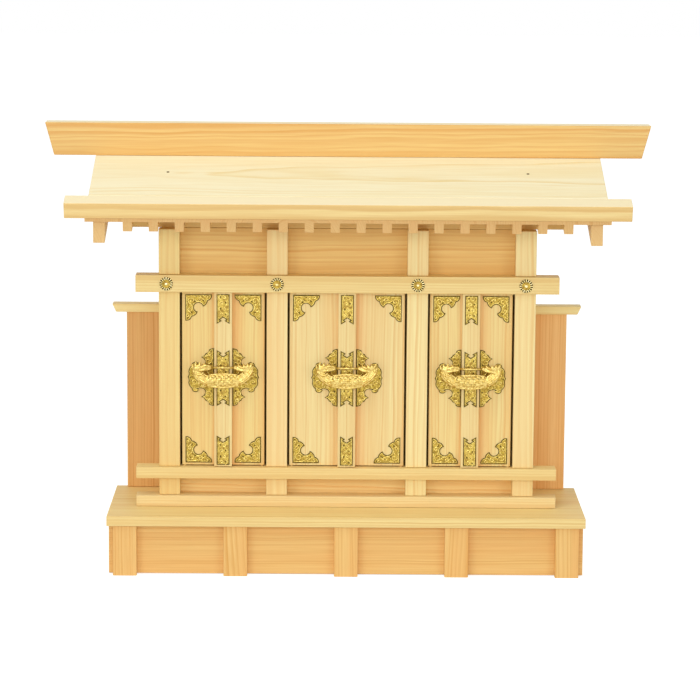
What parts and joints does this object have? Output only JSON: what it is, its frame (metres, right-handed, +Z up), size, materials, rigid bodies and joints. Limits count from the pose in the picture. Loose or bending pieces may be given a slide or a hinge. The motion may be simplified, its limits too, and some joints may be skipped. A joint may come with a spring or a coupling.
{
  "type": "kamidana house altar",
  "caption": "Wooden household altar shaped like a small shrine, with a sloping roof, a ridge beam, hinged double doors under brass fittings and a stepped base.",
  "frame": {"origin": "centre of the bounding box's bottom face: the middle of the footprint of the whole, on the surface that the base stands on", "axes": "+X to the viewer's right along the ridge beam, +Y from the doors to the back wall, +Z up"},
  "size_m": [0.6164, 0.1679, 0.446],
  "materials": {
    "cypress_pale": "planed, unfinished, pale sapwood",
    "cypress_frame": "planed, unfinished",
    "cypress_golden": "planed, unfinished, straight grain",
    "cypress_heart": "planed, unfinished heartwood",
    "brass": "pressed and polished"
  },
  "bodies": {
    "shrine": {"back_wall": "cypress_golden", "bargeboard_left": "cypress_frame", "bargeboard_right": "cypress_frame", "base_back_board": "cypress_golden", "base_batten_1": "cypress_golden", "base_batten_2": "cypress_golden", "base_batten_3": "cypress_golden", "base_batten_4": "cypress_golden", "base_batten_5": "cypress_golden", "base_front_board": "cypress_golden", "base_side_left": "cypress_golden", "base_side_right": "cypress_golden", "deck": "cypress_frame", "eave_beam": "cypress_golden", "eave_strip": "cypress_frame", "ground_sill": "cypress_frame", "lower_panel": "cypress_golden", "lower_rail": "cypress_frame", "post_1": "cypress_frame", "post_2": "cypress_frame", "post_3": "cypress_frame", "post_4": "cypress_frame", "ridge_beam": "cypress_golden", "roof_front": "cypress_pale", "roof_rear": "cypress_pale", "rosette_1": "brass", "rosette_2": "brass", "rosette_3": "brass", "rosette_4": "brass", "side_wall_left": "cypress_golden", "side_wall_right": "cypress_golden", "soffit_front": "cypress_frame", "soffit_rear": "cypress_frame", "upper_panel": "cypress_golden", "upper_rail": "cypress_frame", "wing_cap_left": "cypress_frame", "wing_cap_right": "cypress_frame", "wing_left": "cypress_heart", "wing_right": "cypress_heart"},
    "leaf_left_left": {"door_left_left": "cypress_frame"},
    "leaf_left_right": {"door_left_right": "cypress_frame", "meeting_strip_left": "cypress_frame", "fish_lock_left": "brass"},
    "leaf_centre_left": {"door_centre_left": "cypress_frame"},
    "leaf_centre_right": {"door_centre_right": "cypress_frame", "meeting_strip_centre": "cypress_frame", "fish_lock_centre": "brass"},
    "leaf_right_left": {"door_right_left": "cypress_frame"},
    "leaf_right_right": {"door_right_right": "cypress_frame", "meeting_strip_right": "cypress_frame", "fish_lock_right": "brass"}
  },
  "joints": [
    {"name": "hinge_left_right", "type": "hinge", "parent": "shrine", "child": "leaf_left_right", "pos_m": [-0.08585, -0.0205, 0.19175], "axis": [0, 0, 1], "range_deg": [0, 90]},
    {"name": "hinge_left_left", "type": "hinge", "parent": "shrine", "child": "leaf_left_left", "pos_m": [-0.1643, -0.0205, 0.19175], "axis": [0, 0, -1], "range_deg": [0, 90]},
    {"name": "hinge_centre_right", "type": "hinge", "parent": "shrine", "child": "leaf_centre_right", "pos_m": [0.05565, -0.0205, 0.19175], "axis": [0, 0, 1], "range_deg": [0, 90]},
    {"name": "hinge_centre_left", "type": "hinge", "parent": "shrine", "child": "leaf_centre_left", "pos_m": [-0.05565, -0.0205, 0.19175], "axis": [0, 0, -1], "range_deg": [0, 90]},
    {"name": "hinge_right_right", "type": "hinge", "parent": "shrine", "child": "leaf_right_right", "pos_m": [0.1643, -0.0205, 0.19175], "axis": [0, 0, 1], "range_deg": [0, 90]},
    {"name": "hinge_right_left", "type": "hinge", "parent": "shrine", "child": "leaf_right_left", "pos_m": [0.08585, -0.0205, 0.19175], "axis": [0, 0, -1], "range_deg": [0, 90]}
  ],
  "couplings": [
    {"joint": "hinge_left_left", "follows": "hinge_left_right", "ratio": 1},
    {"joint": "hinge_centre_left", "follows": "hinge_centre_right", "ratio": 1},
    {"joint": "hinge_right_left", "follows": "hinge_right_right", "ratio": 1}
  ]
}
